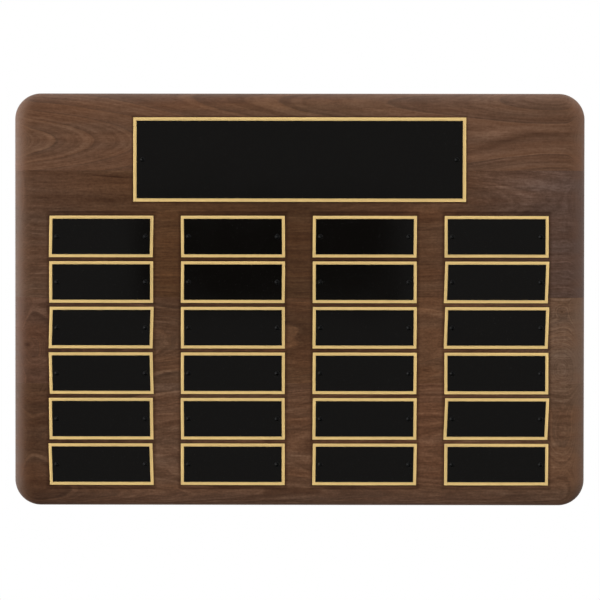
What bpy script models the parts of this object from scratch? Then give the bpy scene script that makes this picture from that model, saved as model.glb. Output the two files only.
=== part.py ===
"""A wall plaque: four walnut staves glued into one board, a header plate and rows of name plates.

Metres, +Z up as the plaque hangs, +X to the right seen from the front, and the front towards -Y.
The origin is the centre of the board's back face, where the plaque meets the wall.
"""

from math import pi, radians, tan

import bmesh
import bpy
from mathutils import Matrix, Vector

# The board: 13 3/4 x 9 15/16 in, 3/4 in thick
BOARD_WIDTH = 0.34925
BOARD_HEIGHT = 0.2526
BOARD_THICKNESS = 0.01905
CORNER_RADIUS = 0.0159
FRONT_ROUNDOVER = 0.0127
BACK_EASE = 0.0015
GLUE_LINES = (0.079, 0.0015, -0.051)  # heights of the glue joints, top to bottom
GAP = 0.0003  # between any two touching pieces

# The plates: engraving brass, 0.6 mm thick
PLATE_THICKNESS = 0.0006
HEADER_WIDTH = 0.2032
HEADER_HEIGHT = 0.0515
HEADER_Z = 0.0857
NAME_WIDTH = 0.0635
NAME_HEIGHT = 0.0254
COLUMNS = 4
COLUMN_PITCH = 0.0805
ROWS = 6
ROW_PITCH = 0.02784
GRID_X = -0.00045  # the grid's middle, a little left of the board's
GRID_Z = -0.0309

# How far out of square the ends of each name plate were cut, in degrees: a row of plates a line.
# A positive lean moves the bottom edge to the right.
END_LEAN = (
    (-1.0, 0.5, -0.5, 0.0),
    (0.0, -0.5, 0.0, -2.0),
    (-1.5, 0.0, -0.5, -2.0),
    (1.5, 0.0, -0.5, 0.0),
    (1.0, 0.5, -0.5, -2.5),
    (2.0, 0.0, -1.0, -0.5),
)

# The plate screws: small round heads
PLATE_HEAD_RADIUS = 0.0016
PLATE_HEAD_HEIGHT = 0.0011
PLATE_SHANK_RADIUS = 0.0008
PLATE_SCREW_LENGTH = 0.008
PLATE_CROSS_REACH = 0.00085  # from the middle of a cross recess to the end of an arm
PLATE_CROSS_WIDTH = 0.0004
PLATE_CROSS_FLOOR = 0.0005  # above the head's seat
PLATE_CROSS_TURN = 0.3  # how far round a screw stopped, in radians
NAME_SCREW_INSET = 0.0047  # from a name plate's end to its screw
HEADER_SCREW_INSET = 0.0056

# The keyhole hangers, let into the back of the top stave
HANGER_X = 0.0889  # 7 in between the two
HANGER_Z = 0.102
HANGER_WIDTH = 0.016
HANGER_LENGTH = 0.038
HANGER_THICKNESS = 0.0015
HANGER_CORNER = 0.003
HANGER_SCREW_OFFSET = 0.0155
KEYHOLE_ENTRY_RADIUS = 0.0045
KEYHOLE_ENTRY_DROP = 0.004  # the entry's centre, below the hanger's middle
KEYHOLE_SLOT_WIDTH = 0.0046
KEYHOLE_SLOT_TOP = 0.0085  # above the hanger's middle
KEYHOLE_SLOT_CORNER = 0.0022
POCKET_WIDTH = 0.0105
POCKET_LENGTH = 0.0215
POCKET_DEPTH = 0.009  # from the back face
POCKET_CORNER = 0.0042

HANGER_HEAD_RADIUS = 0.0027
HANGER_HEAD_HEIGHT = 0.0013
HANGER_SHANK_RADIUS = 0.0012
HANGER_SCREW_LENGTH = 0.012
HANGER_CROSS_REACH = 0.0014
HANGER_CROSS_WIDTH = 0.0006
HANGER_CROSS_FLOOR = -0.0008  # below the head's flat top
HANGER_CROSS_TURN = 0.5

OVERCUT = 0.001  # how far a cutter runs past the face it enters
HOLE_SIDES = 8
SCREW_SIDES = 16
ENTRY_SIDES = 20
CORNER_SEGMENTS = 8
ROUNDOVER_SEGMENTS = 6
EASE_SEGMENTS = 2
SMALL_CORNER_SEGMENTS = 4
SHARP_ANGLE = 35  # degrees between faces, past which an edge stays sharp

BACK_Y = 0.0
FRONT_Y = -BOARD_THICKNESS
PLATE_BACK_Y = FRONT_Y - GAP
PLATE_FRONT_Y = PLATE_BACK_Y - PLATE_THICKNESS
HEAD_SEAT_Y = PLATE_FRONT_Y - GAP


def clear_scene():
    for thing in list(bpy.data.objects):
        bpy.data.objects.remove(thing, do_unlink=True)


def new_collection(name):
    made = bpy.data.collections.new(name)
    bpy.context.scene.collection.children.link(made)
    return made


def material(name, colour, roughness, metallic):
    made = bpy.data.materials.new(name)
    made.use_nodes = True
    shader = made.node_tree.nodes["Principled BSDF"]
    shader.inputs["Base Color"].default_value = (*colour, 1.0)
    shader.inputs["Roughness"].default_value = roughness
    shader.inputs["Metallic"].default_value = metallic
    return made


def new_object(name, mesh, collection, finish=None):
    made = bpy.data.objects.new(name, mesh)
    collection.objects.link(made)
    if finish is not None:
        mesh.materials.append(finish)
    return made


def new_cutter(name, mesh, collection):
    made = new_object(name, mesh, collection)
    made.hide_render = True
    made.display_type = "WIRE"
    return made


def mesh_from(bm, name):
    bmesh.ops.recalc_face_normals(bm, faces=bm.faces)
    made = bpy.data.meshes.new(name)
    bm.to_mesh(made)
    bm.free()
    made.shade_smooth()
    made.set_sharp_from_angle(angle=radians(SHARP_ANGLE))
    return made


def add_box(bm, low, high):
    """Adds a box between two corners, and returns its vertices."""
    low = Vector(low)
    high = Vector(high)
    verts = bmesh.ops.create_cube(bm, size=1.0)["verts"]
    bmesh.ops.scale(bm, vec=high - low, verts=verts)
    bmesh.ops.translate(bm, vec=(low + high) / 2, verts=verts)
    return verts


def add_cylinder(bm, x, z, radius, y_start, y_end, sides=HOLE_SIDES):
    """Adds a cylinder along Y."""
    place = Matrix.Translation((x, (y_start + y_end) / 2, z)) @ Matrix.Rotation(pi / 2, 4, "X")
    bmesh.ops.create_cone(
        bm,
        cap_ends=True,
        segments=sides,
        radius1=radius,
        radius2=radius,
        depth=abs(y_end - y_start),
        matrix=place,
    )


def round_edges(bm, edges, radius, segments):
    bmesh.ops.bevel(
        bm,
        geom=edges,
        offset=radius,
        offset_type="OFFSET",
        affect="EDGES",
        segments=segments,
        profile=0.5,
        material=-1,
    )


def runs_along_y(edge):
    along = edge.verts[1].co - edge.verts[0].co
    return abs(along.normalized().y) > 0.99


def lies_at_y(edge, y):
    return all(abs(vert.co.y - y) < 1e-6 for vert in edge.verts)


def boolean(target, cutter, operation):
    step = target.modifiers.new(f"{operation.lower()} {cutter.name}", "BOOLEAN")
    step.operation = operation
    step.solver = "EXACT"
    step.object = cutter


# ---- the walnut board ----


def board_outline(collection):
    """The finished outside of the whole board, which shapes each stave."""
    bm = bmesh.new()
    add_box(
        bm,
        (-BOARD_WIDTH / 2, FRONT_Y, -BOARD_HEIGHT / 2),
        (BOARD_WIDTH / 2, BACK_Y, BOARD_HEIGHT / 2),
    )
    round_edges(bm, [e for e in bm.edges if runs_along_y(e)], CORNER_RADIUS, CORNER_SEGMENTS)
    front_rim = [e for e in bm.edges if lies_at_y(e, FRONT_Y)]
    round_edges(bm, front_rim, FRONT_ROUNDOVER, ROUNDOVER_SEGMENTS)
    back_rim = [e for e in bm.edges if lies_at_y(e, BACK_Y)]
    round_edges(bm, back_rim, BACK_EASE, EASE_SEGMENTS)
    return new_cutter("board_outline", mesh_from(bm, "board_outline"), collection)


def plate_screw_places():
    """The (x, z) of every screw in the front, the header's two first."""
    reach = HEADER_WIDTH / 2 - HEADER_SCREW_INSET
    places = [(-reach, HEADER_Z), (reach, HEADER_Z)]
    reach = NAME_WIDTH / 2 - NAME_SCREW_INSET
    for row in range(ROWS):
        for column in range(COLUMNS):
            x, z = name_plate_centre(row, column)
            places += [(x - reach, z), (x + reach, z)]
    return places


def hanger_screw_places():
    return [
        (side * HANGER_X, HANGER_Z + up * HANGER_SCREW_OFFSET)
        for side in (-1, 1)
        for up in (1, -1)
    ]


def pilot_holes(collection):
    """Blind holes for the plate screws, drilled from the front."""
    bm = bmesh.new()
    depth = HEAD_SEAT_Y + PLATE_SCREW_LENGTH + GAP
    for x, z in plate_screw_places():
        add_cylinder(bm, x, z, PLATE_SHANK_RADIUS + GAP, FRONT_Y - OVERCUT, depth)
    return new_cutter("pilot_holes", mesh_from(bm, "pilot_holes"), collection)


def hanger_recesses(collection):
    """Shallow recesses that take the hanger plates flush with the back."""
    bm = bmesh.new()
    half_width = HANGER_WIDTH / 2 + GAP
    half_length = HANGER_LENGTH / 2 + GAP
    floor = -HANGER_THICKNESS - GAP
    for side in (-1, 1):
        x = side * HANGER_X
        add_box(
            bm,
            (x - half_width, floor, HANGER_Z - half_length),
            (x + half_width, OVERCUT, HANGER_Z + half_length),
        )
    corners = [e for e in bm.edges if runs_along_y(e)]
    round_edges(bm, corners, HANGER_CORNER + GAP, SMALL_CORNER_SEGMENTS)
    return new_cutter("hanger_recesses", mesh_from(bm, "hanger_recesses"), collection)


def hanger_pockets(collection):
    """The deeper pockets behind the keyholes, where the heads of the wall's screws go."""
    bm = bmesh.new()
    for side in (-1, 1):
        x = side * HANGER_X
        add_box(
            bm,
            (x - POCKET_WIDTH / 2, -POCKET_DEPTH, HANGER_Z - POCKET_LENGTH / 2),
            (x + POCKET_WIDTH / 2, OVERCUT, HANGER_Z + POCKET_LENGTH / 2),
        )
    corners = [e for e in bm.edges if runs_along_y(e)]
    round_edges(bm, corners, POCKET_CORNER, SMALL_CORNER_SEGMENTS)
    return new_cutter("hanger_pockets", mesh_from(bm, "hanger_pockets"), collection)


def hanger_pilot_holes(collection):
    bm = bmesh.new()
    for x, z in hanger_screw_places():
        add_cylinder(
            bm, x, z, HANGER_SHANK_RADIUS + GAP, OVERCUT, -HANGER_SCREW_LENGTH - 2 * GAP
        )
    return new_cutter("hanger_pilot_holes", mesh_from(bm, "hanger_pilot_holes"), collection)


def staves(parts, cutters, walnut):
    """Four boards the full width, each planed to its own height, then shaped as one."""
    outline = board_outline(cutters)
    pilots = pilot_holes(cutters)
    back_cuts = [hanger_recesses(cutters), hanger_pockets(cutters), hanger_pilot_holes(cutters)]
    edge = BOARD_HEIGHT / 2 + OVERCUT
    tops = [edge] + [z - GAP / 2 for z in GLUE_LINES]
    bottoms = [z + GAP / 2 for z in GLUE_LINES] + [-edge]
    reach = BOARD_WIDTH / 2 + OVERCUT
    for number, (top, bottom) in enumerate(zip(tops, bottoms), start=1):
        bm = bmesh.new()
        add_box(bm, (-reach, FRONT_Y - OVERCUT, bottom), (reach, OVERCUT, top))
        name = f"board_stave_{number}"
        stave = new_object(name, mesh_from(bm, name), parts, walnut)
        boolean(stave, outline, "INTERSECT")
        boolean(stave, pilots, "DIFFERENCE")
        if number == 1:
            for cut in back_cuts:
                boolean(stave, cut, "DIFFERENCE")


# ---- the plates ----


def name_plate_centre(row, column):
    x = GRID_X + (column - (COLUMNS - 1) / 2) * COLUMN_PITCH
    z = GRID_Z - (row - (ROWS - 1) / 2) * ROW_PITCH
    return x, z


def plate_holes(name, inset, width, collection):
    bm = bmesh.new()
    for side in (-1, 1):
        x = side * (width / 2 - inset)
        add_cylinder(bm, x, 0, PLATE_SHANK_RADIUS + GAP, -PLATE_THICKNESS, PLATE_THICKNESS)
    return new_cutter(name, mesh_from(bm, name), collection)


def plate(name, width, height, lean, centre, holes, parts, brass):
    """A thin plate whose ends may lean, with a screw hole at each end."""
    bm = bmesh.new()
    half = Vector((width / 2, PLATE_THICKNESS / 2, height / 2))
    verts = add_box(bm, -half, half)
    for vert in verts:
        vert.co.x -= tan(radians(lean)) * vert.co.z
    made = new_object(name, mesh_from(bm, name), parts, brass)
    x, z = centre
    made.location = (x, (PLATE_BACK_Y + PLATE_FRONT_Y) / 2, z)
    cut = holes.copy()
    cut.name = f"{name}_holes"
    cut.location = made.location
    holes.users_collection[0].objects.link(cut)
    boolean(made, cut, "DIFFERENCE")


def plates(parts, cutters, brass):
    header_holes = plate_holes("header_holes", HEADER_SCREW_INSET, HEADER_WIDTH, cutters)
    plate(
        "header_plate",
        HEADER_WIDTH,
        HEADER_HEIGHT,
        0.0,
        (0.0, HEADER_Z),
        header_holes,
        parts,
        brass,
    )
    name_holes = plate_holes("name_holes", NAME_SCREW_INSET, NAME_WIDTH, cutters)
    for row in range(ROWS):
        for column in range(COLUMNS):
            plate(
                f"name_plate_r{row + 1}_c{column + 1}",
                NAME_WIDTH,
                NAME_HEIGHT,
                END_LEAN[row][column],
                name_plate_centre(row, column),
                name_holes,
                parts,
                brass,
            )


# ---- the screws ----


def turned(name, profile, collection, finish):
    """A solid turned about Z from a profile of (radius, height) points, top to bottom."""
    mesh = bpy.data.meshes.new(name)
    points = [(radius, 0.0, height) for radius, height in profile]
    mesh.from_pydata(points, [(i, i + 1) for i in range(len(points) - 1)], [])
    made = new_object(name, mesh, collection, finish)
    turn = made.modifiers.new("turn", "SCREW")
    turn.axis = "Z"
    turn.angle = 2 * pi
    turn.steps = SCREW_SIDES
    turn.render_steps = SCREW_SIDES
    turn.use_merge_vertices = True
    turn.merge_threshold = 0.00001
    turn.use_smooth_shade = True
    return made


def shank_profile(radius, length):
    """The shank down to its point, as (radius, height) below the head's seat."""
    return [(radius, -length * 0.78), (radius * 0.45, -length * 0.92), (0.0, -length)]


def round_head_profile():
    """A low domed head whose flat underside is at height 0."""
    r = PLATE_HEAD_RADIUS
    h = PLATE_HEAD_HEIGHT
    dome = [(0.0, h), (0.42 * r, 0.94 * h), (0.75 * r, 0.74 * h), (0.95 * r, 0.42 * h), (r, 0.1 * h)]
    seat = [(0.93 * r, 0.0), (PLATE_SHANK_RADIUS, 0.0)]
    return dome + seat + shank_profile(PLATE_SHANK_RADIUS, PLATE_SCREW_LENGTH)


def countersunk_profile():
    """A flat head tapering to its shank, with its top at height 0."""
    r = HANGER_HEAD_RADIUS
    head = [(0.0, 0.0), (0.93 * r, 0.0), (r, -0.00012), (HANGER_SHANK_RADIUS, -HANGER_HEAD_HEIGHT)]
    return head + shank_profile(HANGER_SHANK_RADIUS, HANGER_SCREW_LENGTH)


def cross_arms(name, reach, width, top, bottom, turn, collection):
    """The two arms of a cross recess, cut down into the head as its screw is drawn."""
    arms = []
    for number, angle in enumerate((turn, turn + pi / 2), start=1):
        bm = bmesh.new()
        verts = add_box(bm, (-reach, -width / 2, bottom), (reach, width / 2, top))
        bmesh.ops.rotate(bm, cent=(0, 0, 0), matrix=Matrix.Rotation(angle, 3, "Z"), verts=verts)
        arm = f"{name}_arm_{number}"
        arms.append(new_cutter(arm, mesh_from(bm, arm), collection))
    return arms


def place_screw(screw, arms, location, turn):
    """Turns a screw and the arms of its recess to face along Y, and sets them in place."""
    for thing in [screw, *arms]:
        thing.rotation_euler = (turn, 0.0, 0.0)
        thing.location = location
    for arm in arms:
        boolean(screw, arm, "DIFFERENCE")


def header_screws(parts, cutters, steel):
    for side, (x, z) in zip(("left", "right"), plate_screw_places()[:2]):
        name = f"header_screw_{side}"
        screw = turned(name, round_head_profile(), parts, steel)
        arms = cross_arms(
            name,
            PLATE_CROSS_REACH,
            PLATE_CROSS_WIDTH,
            PLATE_HEAD_HEIGHT + OVERCUT,
            PLATE_CROSS_FLOOR,
            PLATE_CROSS_TURN,
            cutters,
        )
        place_screw(screw, arms, (x, HEAD_SEAT_Y, z), pi / 2)


def hanger_screws(parts, cutters, steel):
    names = ("left_top", "left_bottom", "right_top", "right_bottom")
    for place, (x, z) in zip(names, hanger_screw_places()):
        name = f"hanger_screw_{place}"
        screw = turned(name, countersunk_profile(), parts, steel)
        arms = cross_arms(
            name,
            HANGER_CROSS_REACH,
            HANGER_CROSS_WIDTH,
            OVERCUT,
            HANGER_CROSS_FLOOR,
            HANGER_CROSS_TURN,
            cutters,
        )
        place_screw(screw, arms, (x, BACK_Y, z), -pi / 2)


# ---- the keyhole hangers ----


def keyhole_slot(collection):
    bm = bmesh.new()
    add_box(
        bm,
        (-KEYHOLE_SLOT_WIDTH / 2, -HANGER_THICKNESS, -KEYHOLE_ENTRY_DROP),
        (KEYHOLE_SLOT_WIDTH / 2, HANGER_THICKNESS, KEYHOLE_SLOT_TOP),
    )
    corners = [e for e in bm.edges if runs_along_y(e)]
    round_edges(bm, corners, KEYHOLE_SLOT_CORNER, SMALL_CORNER_SEGMENTS)
    return new_cutter("keyhole_slot", mesh_from(bm, "keyhole_slot"), collection)


def keyhole_entry(collection):
    bm = bmesh.new()
    add_cylinder(
        bm,
        0,
        -KEYHOLE_ENTRY_DROP,
        KEYHOLE_ENTRY_RADIUS,
        -HANGER_THICKNESS,
        HANGER_THICKNESS,
        sides=ENTRY_SIDES,
    )
    return new_cutter("keyhole_entry", mesh_from(bm, "keyhole_entry"), collection)


def countersinks(collection):
    """Two tapered holes that clear the screws' heads by the gap all round."""
    bm = bmesh.new()
    wide = HANGER_HEAD_RADIUS + GAP
    narrow = HANGER_SHANK_RADIUS + GAP
    slope = (wide - narrow) / HANGER_HEAD_HEIGHT
    depth = 2 * HANGER_THICKNESS
    for up in (1, -1):
        # The cone keeps its slope past both faces of the plate.
        place = Matrix.Translation((0, 0, up * HANGER_SCREW_OFFSET)) @ Matrix.Rotation(-pi / 2, 4, "X")
        middle = wide - slope * HANGER_THICKNESS / 2
        bmesh.ops.create_cone(
            bm,
            cap_ends=True,
            segments=SCREW_SIDES,
            radius1=middle - slope * depth / 2,
            radius2=middle + slope * depth / 2,
            depth=depth,
            matrix=place,
        )
    return new_cutter("countersinks", mesh_from(bm, "countersinks"), collection)


def hanger_plates(parts, cutters, zinc):
    cuts = [keyhole_slot(cutters), keyhole_entry(cutters), countersinks(cutters)]
    half = Vector((HANGER_WIDTH / 2, HANGER_THICKNESS / 2, HANGER_LENGTH / 2))
    for side, sign in (("left", -1), ("right", 1)):
        name = f"hanger_plate_{side}"
        bm = bmesh.new()
        add_box(bm, -half, half)
        corners = [e for e in bm.edges if runs_along_y(e)]
        round_edges(bm, corners, HANGER_CORNER, SMALL_CORNER_SEGMENTS)
        made = new_object(name, mesh_from(bm, name), parts, zinc)
        made.location = (sign * HANGER_X, BACK_Y - HANGER_THICKNESS / 2, HANGER_Z)
        for cut in cuts:
            own = cut.copy()
            own.name = f"{name}_{cut.name}"
            own.location = made.location
            cutters.objects.link(own)
            boolean(made, own, "DIFFERENCE")


def build():
    clear_scene()
    parts = new_collection("wall_plaque")
    cutters = new_collection("cutters")
    walnut = material("walnut", (0.16, 0.07, 0.035), 0.4, 0.0)
    brass = material("black faced brass", (0.02, 0.018, 0.016), 0.25, 0.3)
    black_steel = material("black steel", (0.015, 0.014, 0.013), 0.35, 0.8)
    zinc = material("zinc plate", (0.55, 0.56, 0.58), 0.35, 1.0)
    staves(parts, cutters, walnut)
    plates(parts, cutters, brass)
    header_screws(parts, cutters, black_steel)
    hanger_plates(parts, cutters, zinc)
    hanger_screws(parts, cutters, zinc)


build()
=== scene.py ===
# %% [markdown]
# # A walnut wall plaque with a header plate and 24 name plates
#
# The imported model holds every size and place, so nothing is measured twice: this lesson
# loads it, reads each node's box, and makes a finer piece that stands where the node is.
# The board is four walnut staves glued edge to edge. It hangs with its front towards -Y.

# %% Load the frame
import math
import random

import bmesh
import bpy
from mathutils import Matrix, Vector


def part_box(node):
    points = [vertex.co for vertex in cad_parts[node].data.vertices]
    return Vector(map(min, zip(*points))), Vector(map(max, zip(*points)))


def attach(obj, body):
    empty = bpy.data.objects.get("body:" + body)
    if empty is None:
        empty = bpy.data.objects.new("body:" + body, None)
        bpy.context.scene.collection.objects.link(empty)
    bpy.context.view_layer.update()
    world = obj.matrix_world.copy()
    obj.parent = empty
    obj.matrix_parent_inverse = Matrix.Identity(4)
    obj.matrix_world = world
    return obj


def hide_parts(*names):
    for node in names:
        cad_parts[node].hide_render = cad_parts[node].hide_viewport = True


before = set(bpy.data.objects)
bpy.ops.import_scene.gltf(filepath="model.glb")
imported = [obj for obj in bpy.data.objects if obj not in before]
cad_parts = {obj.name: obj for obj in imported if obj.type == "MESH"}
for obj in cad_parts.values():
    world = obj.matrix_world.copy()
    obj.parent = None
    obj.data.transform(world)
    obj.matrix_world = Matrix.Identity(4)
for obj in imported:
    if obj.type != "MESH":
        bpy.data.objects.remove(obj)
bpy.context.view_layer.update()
MM = 0.001  # everything else is in metres
STAVES = [f"board_stave_{number}" for number in range(1, 5)]
stave_boxes = [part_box(name) for name in STAVES]
board_low = Vector(min(box[0][axis] for box in stave_boxes) for axis in range(3))
board_high = Vector(max(box[1][axis] for box in stave_boxes) for axis in range(3))

# %% [markdown]
# ## The camera
#
# The plaque is seen almost square on, from far enough away that its edges hardly converge:
# a long lens a couple of metres off gives that flat view. A camera on a stand is never quite
# level, so this one looks from about a degree above and a quarter of a degree to the right,
# and is rolled by a hair. The lens could be typed in, but it follows from something easier to
# measure: how wide a strip it takes in at the plates. A sensor and its lens make the same
# triangle as that strip and the distance to it.

# %% Camera
CAMERA_DISTANCE = 2.44  # from the plates' faces
CAMERA_RISE = 1.3  # degrees above level
CAMERA_SIDE = 0.25  # degrees round to the right
CAMERA_ROLL = 0.06  # degrees
VIEW_WIDTH = 0.36642  # what the picture spans at the plates
plate_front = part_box("header_plate")[0].y
aim = Vector((0.29 * MM, plate_front, 0.01 * MM))
turn = Matrix.Rotation(math.radians(CAMERA_SIDE), 4, "Z")
turn = turn @ Matrix.Rotation(math.radians(90 - CAMERA_RISE), 4, "X")
turn = turn @ Matrix.Rotation(math.radians(CAMERA_ROLL), 4, "Z")
camera_data = bpy.data.cameras.new("camera")
camera_data.sensor_width = 36.0
camera_data.lens = camera_data.sensor_width * CAMERA_DISTANCE / VIEW_WIDTH
camera = bpy.data.objects.new("camera", camera_data)
camera.location = aim + turn @ Vector((0, 0, CAMERA_DISTANCE))
camera.rotation_euler = turn.to_euler()
bpy.context.scene.collection.objects.link(camera)
bpy.context.scene.camera = camera
print("lens", round(camera_data.lens, 1), "mm, camera at", [round(v, 3) for v in camera.location])

# %% [markdown]
# ## Small tools for shader trees
#
# Every finish below is a shader tree, and so is the light of the studio. A tree can be drawn
# by hand in the shader editor, but a written one can be read, changed and repeated. Three
# helpers keep it short: one adds a node and fills its inputs, one does arithmetic, and one
# maps a range of values smoothly on to another.

# %% Node helpers
SCENE = bpy.context.scene


def link_object(name, data):
    made = bpy.data.objects.new(name, data)
    SCENE.collection.objects.link(made)
    return made


def add_node(tree, kind, inputs=(), **settings):
    """Adds a shader node, and fills its inputs with values or with links from sockets."""
    made = tree.nodes.new("ShaderNode" + kind)
    for name, value in settings.items():
        setattr(made, name, value)
    for key, value in dict(inputs).items():
        if isinstance(value, bpy.types.NodeSocket):
            tree.links.new(value, made.inputs[key])
        else:
            made.inputs[key].default_value = value
    return made


def maths(tree, operation, *values):
    return add_node(tree, "Math", dict(enumerate(values)), operation=operation).outputs[0]


def between(tree, value, low, high, to_low=0.0, to_high=1.0):
    """Maps low..high to to_low..to_high, smoothly, and clamps what lies outside."""
    made = add_node(
        tree,
        "MapRange",
        {"Value": value, "From Min": low, "From Max": high, "To Min": to_low, "To Max": to_high},
        interpolation_type="SMOOTHSTEP",
    )
    return made.outputs["Result"]


# %% [markdown]
# ## The studio
#
# A black lacquered plate mirrors whatever it faces, so the space round the camera is kept
# dim, and the white that brightens the board's rounded rim stands beside and behind it. A
# tent of white cloth could be modelled for that. Here the world is the tent: its light
# depends only on direction, dim in front and below and bright to the sides, the left more
# than the right. A dark card beside the camera stands for studio gear, and shows in the
# plates as a darker block. To the camera the surroundings look plain white.

# %% The tent
SCENE.view_settings.view_transform = "Standard"
SCENE.view_settings.look = "None"
FRONT_LIGHT = 0.14
LEFT_LIGHT = 1.3
RIGHT_LIGHT = 0.45
WHITE = (1, 1, 1, 1)


def tent_glow(tree):
    """How bright the tent is along a direction: dim in front, bright at the sides."""
    way = add_node(tree, "SeparateXYZ", {0: add_node(tree, "TexCoord").outputs["Generated"]})
    sideways = between(tree, way.outputs["Y"], -0.6, 0.25)
    leftward = between(tree, way.outputs["X"], -1.0, 1.0, LEFT_LIGHT, RIGHT_LIGHT)
    upward = between(tree, way.outputs["Z"], 0.2, 1.0, 1.0, 0.6)
    downward = between(tree, way.outputs["Z"], -0.12, -0.75, 1.0, 0.06)
    glow = maths(tree, "MULTIPLY", maths(tree, "MULTIPLY", sideways, leftward), upward)
    return maths(tree, "MULTIPLY", maths(tree, "ADD", glow, FRONT_LIGHT), downward)


def white_studio():
    world = bpy.data.worlds.new("studio")
    world.use_nodes = True
    tree = world.node_tree
    tree.nodes.clear()
    lighting = add_node(tree, "Background", {"Color": WHITE, "Strength": tent_glow(tree)})
    backdrop = add_node(tree, "Background", {"Color": WHITE, "Strength": 1.0})
    path = add_node(tree, "LightPath")
    both = add_node(
        tree,
        "MixShader",
        {0: path.outputs["Is Camera Ray"], 1: lighting.outputs[0], 2: backdrop.outputs[0]},
    )
    add_node(tree, "OutputWorld", {"Surface": both.outputs[0]})
    SCENE.world = world
    return world


print("world:", white_studio().name)

# %% [markdown]
# Six soft panels light the wood. A panel's reflection would veil the wood's colour, so these
# are hidden from glossy rays and give only diffuse light. One is above the camera, one below
# it, and four stand just behind the board and graze its rim. The pale floor lies well under
# the plaque, so it is only a ground to hang over and adds no light of its own.

# %% Panels, floor and card
SOFT_PANELS = {  # name: place, width, height, watts
    "front panel": ((0.0, -2.3, 0.9), 1.6, 1.2, 34),
    "low panel": ((0.0, -1.2, -1.5), 1.8, 0.8, 8),
    "left back panel": ((-1.7, 0.35, 0.0), 0.9, 1.6, 27),
    "right back panel": ((0.75, 0.15, 0.55), 0.3, 0.3, 4.5),
    "top back panel": ((0.0, 0.3, 1.7), 1.6, 0.6, 2),
    "bottom back panel": ((0.0, 0.2, -1.7), 1.6, 0.6, 4),
}


def soft_panel(name, place, width, height, power):
    """A rectangle of light that faces the plaque, and that mirrors don't show."""
    lamp = bpy.data.lights.new(name, "AREA")
    lamp.shape = "RECTANGLE"
    lamp.size = width
    lamp.size_y = height
    lamp.energy = power
    made = link_object(name, lamp)
    made.location = place
    made.rotation_euler = (-Vector(place)).to_track_quat("-Z", "Y").to_euler()
    made.visible_camera = False
    made.visible_glossy = False
    return made


def stage_mesh(name, bm, colour, roughness):
    mesh = bpy.data.meshes.new(name)
    bm.to_mesh(mesh)
    bm.free()
    finish = bpy.data.materials.new(name)
    finish.use_nodes = True
    shader = finish.node_tree.nodes["Principled BSDF"]
    shader.inputs["Base Color"].default_value = colour
    shader.inputs["Roughness"].default_value = roughness
    mesh.materials.append(finish)
    made = link_object(name, mesh)
    return made


def pale_floor(height, radius):
    bm = bmesh.new()
    bmesh.ops.create_circle(bm, cap_ends=True, segments=96, radius=radius)
    bmesh.ops.translate(bm, vec=(0, 0, height), verts=bm.verts)
    floor = stage_mesh("floor", bm, (0.86, 0.86, 0.85, 1), 0.7)
    floor.visible_glossy = False
    floor.visible_diffuse = False
    floor.visible_shadow = False


def dark_card(width, height, place):
    """The dark gear beside the camera, which only reflections see."""
    bm = bmesh.new()
    bmesh.ops.create_grid(bm, x_segments=1, y_segments=1, size=0.5)
    bmesh.ops.scale(bm, vec=(width, height, 1), verts=bm.verts)
    upright = Matrix.Rotation(math.pi / 2, 3, "X")
    bmesh.ops.rotate(bm, verts=bm.verts, cent=(0, 0, 0), matrix=upright)
    bmesh.ops.translate(bm, vec=place, verts=bm.verts)
    card = stage_mesh("dark_card", bm, (0.002, 0.002, 0.002, 1), 0.9)
    card.visible_camera = False
    card.visible_diffuse = False
    card.visible_shadow = False


pale_floor(height=-0.34, radius=1.25)
dark_card(width=0.32, height=0.12, place=(-0.049, camera.location.y, -0.002))
for name, (place, width, height, power) in SOFT_PANELS.items():
    soft_panel(name, place, width, height, power)
print(len(SOFT_PANELS), "soft panels")


# %% [markdown]
# ## Colour and noise
#
# The finishes share a few more helpers. Colours are easiest to judge as a screen shows them,
# but shaders take linear values, so one helper converts. Noise is the other raw material: a
# Mapping node stretches it, and the same noise drawn out along one axis turns into fibre.

# %% Colour and noise helpers
def srgb(red, green, blue):
    """A colour as seen on a screen, 0 to 255, as the linear values that shaders take."""
    def linear(value):
        value /= 255
        return value / 12.92 if value <= 0.04045 else ((value + 0.055) / 1.055) ** 2.4

    return (linear(red), linear(green), linear(blue), 1.0)


def new_material(name):
    made = bpy.data.materials.new(name)
    made.use_nodes = True
    return made, made.node_tree, made.node_tree.nodes["Principled BSDF"]


def vectors(tree, operation, *values):
    made = add_node(tree, "VectorMath", dict(enumerate(values)), operation=operation)
    return made.outputs["Value" if operation in ("LENGTH", "DOT_PRODUCT") else "Vector"]


def scaled(tree, source, scale, shift=(0, 0, 0)):
    return add_node(
        tree, "Mapping", {"Vector": source, "Scale": scale, "Location": shift}
    ).outputs[0]


def noise(tree, source, detail=2.0, roughness=0.5, output="Fac", scale=1.0):
    made = add_node(
        tree,
        "TexNoise",
        {"Vector": source, "Scale": scale, "Detail": detail, "Roughness": roughness},
    )
    return made.outputs[output]


def line_noise(tree, value, scale, detail, roughness=0.55):
    made = add_node(
        tree,
        "TexNoise",
        {"W": value, "Scale": scale, "Detail": detail, "Roughness": roughness},
        noise_dimensions="1D",
    )
    return made.outputs["Fac"]


def blend_colours(tree, amount, first, second, how="MIX"):
    made = add_node(
        tree, "Mix", {0: amount, 6: first, 7: second}, data_type="RGBA", blend_type=how
    )
    return made.outputs[2]


def colour_ramp(tree, value, stops):
    """Blends through (position, colour) stops."""
    made = add_node(tree, "ValToRGB", {"Fac": value})
    ramp = made.color_ramp
    for _ in stops[2:]:
        ramp.elements.new(0.5)
    for element, (position, colour) in zip(ramp.elements, stops):
        element.position = position
        element.color = (*colour[:3], 1.0)
    return made.outputs["Color"]


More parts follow.
